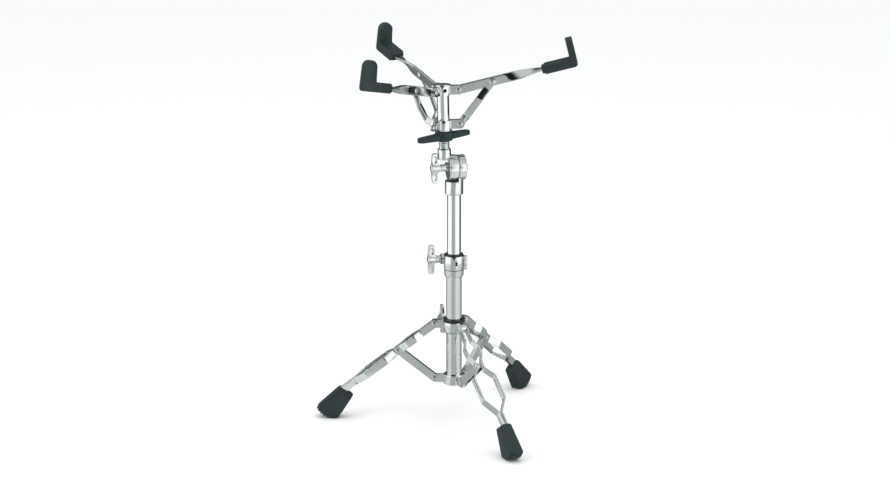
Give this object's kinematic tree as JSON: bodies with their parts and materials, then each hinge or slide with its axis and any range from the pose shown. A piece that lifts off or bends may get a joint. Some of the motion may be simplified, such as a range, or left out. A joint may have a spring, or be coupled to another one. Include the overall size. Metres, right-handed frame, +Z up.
{
  "type": "snare drum stand",
  "caption": "Folding snare drum stand: double-strip tripod legs, telescoping stem, tilter and an adjustable basket of arms with rubber grips.",
  "frame": {"origin": "on the floor, under the axis of the stem", "axes": "+Z up along the stem; -X along the first leg; -Y towards the side the picture shows"},
  "size_m": [0.4137, 0.3968, 0.6279],
  "materials": {
    "plated_tube": "bright chrome plate",
    "plated_casting": "bright chrome plate on a casting",
    "plated_strip": "bright chrome plate on flat steel strip",
    "steel": "plated steel",
    "rubber": "matt moulded rubber",
    "nylon": "black nylon",
    "nut_plastic": "black moulded plastic"
  },
  "bodies": {
    "stem": {"lower_tube": "plated_tube", "leg_bracket": "plated_casting", "bracket_rivet_1": "steel", "bracket_rivet_2": "steel", "bracket_rivet_3": "steel", "clamp_body": "plated_casting", "clamp_bush": "nylon", "clamp_hinge_pin": "steel"},
    "clamp_jaw": {"clamp_jaw": "plated_casting"},
    "clamp_bolt": {"clamp_bolt": "steel"},
    "clamp_wing": {"clamp_wing": "plated_casting"},
    "upper_stem": {"upper_tube": "plated_tube", "tilter_base": "plated_casting", "tilter_bolt": "steel"},
    "tilter_wing": {"tilter_wing": "plated_casting"},
    "basket": {"tilter_head": "plated_casting", "basket_shaft": "plated_tube", "upper_hub": "plated_casting", "hub_screw": "steel", "hub_rivet_1": "steel", "hub_rivet_2": "steel", "hub_rivet_3": "steel"},
    "lower_hub": {"lower_hub": "plated_casting"},
    "basket_nut": {"basket_nut": "nut_plastic"},
    "collar": {"leg_collar": "plated_casting", "collar_bush": "nylon"},
    "collar_screw": {"collar_screw": "plated_casting"},
    "leg_strut_1": {"leg_strut_1": "plated_strip"},
    "leg_1": {"leg_strip_1a": "plated_strip", "leg_strip_1b": "plated_strip", "foot_1": "rubber", "collar_rivet_1": "steel", "leg_rivet_1": "steel"},
    "leg_strut_2": {"leg_strut_2": "plated_strip"},
    "leg_2": {"leg_strip_2a": "plated_strip", "leg_strip_2b": "plated_strip", "foot_2": "rubber", "collar_rivet_2": "steel", "leg_rivet_2": "steel"},
    "leg_strut_3": {"leg_strut_3": "plated_strip"},
    "leg_3": {"leg_strip_3a": "plated_strip", "leg_strip_3b": "plated_strip", "foot_3": "rubber", "collar_rivet_3": "steel", "leg_rivet_3": "steel"},
    "arm_1": {"basket_arm_1": "plated_strip", "grip_1": "rubber", "arm_rivet_1": "steel"},
    "basket_strut_1": {"basket_strut_1": "plated_strip", "slider_rivet_1": "steel"},
    "arm_2": {"basket_arm_2": "plated_strip", "grip_2": "rubber", "arm_rivet_2": "steel"},
    "basket_strut_2": {"basket_strut_2": "plated_strip", "slider_rivet_2": "steel"},
    "arm_3": {"basket_arm_3": "plated_strip", "grip_3": "rubber", "arm_rivet_3": "steel"},
    "basket_strut_3": {"basket_strut_3": "plated_strip", "slider_rivet_3": "steel"}
  },
  "joints": [
    {"name": "strut_1_fold", "type": "hinge", "parent": "stem", "child": "leg_strut_1", "pos_m": [-0.0307, 0, 0.07105], "axis": [0, 1, 0], "range_deg": [0, 42]},
    {"name": "leg_1_fold", "type": "hinge", "parent": "leg_strut_1", "child": "leg_1", "pos_m": [-0.08972, 0, 0.11683], "axis": [0, 1, 0], "range_deg": [-84, 0]},
    {"name": "strut_2_fold", "type": "hinge", "parent": "stem", "child": "leg_strut_2", "pos_m": [0.01535, 0.02659, 0.07105], "axis": [0.866, -0.5, 0], "range_deg": [0, 42]},
    {"name": "leg_2_fold", "type": "hinge", "parent": "leg_strut_2", "child": "leg_2", "pos_m": [0.04486, 0.0777, 0.11683], "axis": [0.866, -0.5, 0], "range_deg": [-84, 0]},
    {"name": "strut_3_fold", "type": "hinge", "parent": "stem", "child": "leg_strut_3", "pos_m": [0.01535, -0.02659, 0.07105], "axis": [-0.866, -0.5, 0], "range_deg": [0, 42]},
    {"name": "leg_3_fold", "type": "hinge", "parent": "leg_strut_3", "child": "leg_3", "pos_m": [0.04486, -0.0777, 0.11683], "axis": [-0.866, -0.5, 0], "range_deg": [-84, 0]},
    {"name": "collar_ride", "type": "hinge", "parent": "leg_1", "child": "collar", "pos_m": [-0.0307, 0, 0.16262], "axis": [0, 1, 0], "range_deg": [0, 42]},
    {"name": "collar_screw_turn", "type": "hinge", "parent": "collar", "child": "collar_screw", "pos_m": [-0.01365, 0.02364, 0.15912], "axis": [-0.5, 0.866, 0], "range_deg": [0, 270]},
    {"name": "height_slide", "type": "slide", "parent": "stem", "child": "upper_stem", "axis": [0, 0, 1], "range_m": [-0.085, 0.065]},
    {"name": "clamp_bolt_slide", "type": "slide", "parent": "stem", "child": "clamp_bolt", "axis": [-0.9511, -0.309, 0], "range_m": [-0.00125, 0]},
    {"name": "clamp_wing_turn", "type": "hinge", "parent": "stem", "child": "clamp_wing", "pos_m": [-0.02247, 0.01478, 0.26525], "axis": [-0.9511, -0.309, 0], "range_deg": [-1, 361]},
    {"name": "clamp_jaw_open", "type": "hinge", "parent": "stem", "child": "clamp_jaw", "pos_m": [0.01819, -0.00387, 0.26525], "axis": [0, 0, -1], "range_deg": [-0.05, 2.25]},
    {"name": "tilt", "type": "hinge", "parent": "upper_stem", "child": "basket", "pos_m": [0, 0, 0.41845], "axis": [-0.9511, -0.309, 0], "range_deg": [-60, 60]},
    {"name": "tilter_wing_turn", "type": "hinge", "parent": "upper_stem", "child": "tilter_wing", "pos_m": [-0.01018, -0.00331, 0.41845], "axis": [-0.9511, -0.309, 0], "range_deg": [0, 270]},
    {"name": "lower_hub_slide", "type": "slide", "parent": "basket", "child": "lower_hub", "axis": [-0.0249, -0.0081, 0.9997], "range_m": [-0.005, 0.01]},
    {"name": "basket_nut_turn", "type": "hinge", "parent": "lower_hub", "child": "basket_nut", "pos_m": [-0.01549, -0.00503, 0.46264], "axis": [-0.0249, -0.0081, 0.9997], "range_deg": [-602, 1202]},
    {"name": "arm_1_swing", "type": "hinge", "parent": "basket", "child": "arm_1", "pos_m": [0.00749, -0.00481, 0.54344], "axis": [0.035, -0.9994, -0.0072], "range_deg": [-7.31, 14.42]},
    {"name": "basket_strut_1_swing", "type": "hinge", "parent": "arm_1", "child": "basket_strut_1", "pos_m": [0.05937, -0.00309, 0.55681], "axis": [0.035, -0.9994, -0.0072], "range_deg": [-11.15, 5.68]},
    {"name": "arm_2_swing", "type": "hinge", "parent": "basket", "child": "arm_2", "pos_m": [-0.03073, 0.01552, 0.54265], "axis": [0.8477, 0.5298, 0.0254], "range_deg": [-7.31, 14.42]},
    {"name": "basket_strut_2_swing", "type": "hinge", "parent": "arm_2", "child": "basket_strut_2", "pos_m": [-0.0587, 0.05972, 0.55438], "axis": [0.8477, 0.5298, 0.0254], "range_deg": [-11.15, 5.68]},
    {"name": "arm_3_swing", "type": "hinge", "parent": "basket", "child": "arm_3", "pos_m": [-0.02921, -0.02775, 0.54234], "axis": [-0.8827, 0.4695, -0.0182], "range_deg": [-7.31, 14.42]},
    {"name": "basket_strut_3_swing", "type": "hinge", "parent": "arm_3", "child": "basket_strut_3", "pos_m": [-0.05402, -0.07396, 0.55341], "axis": [-0.8827, 0.4695, -0.0182], "range_deg": [-11.15, 5.68]}
  ],
  "couplings": [
    {"joint": "leg_1_fold", "follows": "strut_1_fold", "ratio": -2},
    {"joint": "strut_2_fold", "follows": "strut_1_fold", "ratio": 1},
    {"joint": "leg_2_fold", "follows": "strut_1_fold", "ratio": -2},
    {"joint": "strut_3_fold", "follows": "strut_1_fold", "ratio": 1},
    {"joint": "leg_3_fold", "follows": "strut_1_fold", "ratio": -2},
    {"joint": "collar_ride", "follows": "strut_1_fold", "ratio": 1},
    {"joint": "clamp_wing_turn", "follows": "clamp_bolt_slide", "rad_per_m": -5026.5},
    {"joint": "clamp_jaw_open", "follows": "clamp_bolt_slide", "rad_per_m": -30.718},
    {"joint": "basket_nut_turn", "follows": "lower_hub_slide", "rad_per_m": 2094.4},
    {"joint": "arm_1_swing", "follows": "lower_hub_slide", "rad_per_m": 24.816},
    {"joint": "basket_strut_1_swing", "follows": "lower_hub_slide", "rad_per_m": -19.117},
    {"joint": "arm_2_swing", "follows": "lower_hub_slide", "rad_per_m": 24.816},
    {"joint": "basket_strut_2_swing", "follows": "lower_hub_slide", "rad_per_m": -19.117},
    {"joint": "arm_3_swing", "follows": "lower_hub_slide", "rad_per_m": 24.816},
    {"joint": "basket_strut_3_swing", "follows": "lower_hub_slide", "rad_per_m": -19.117}
  ]
}
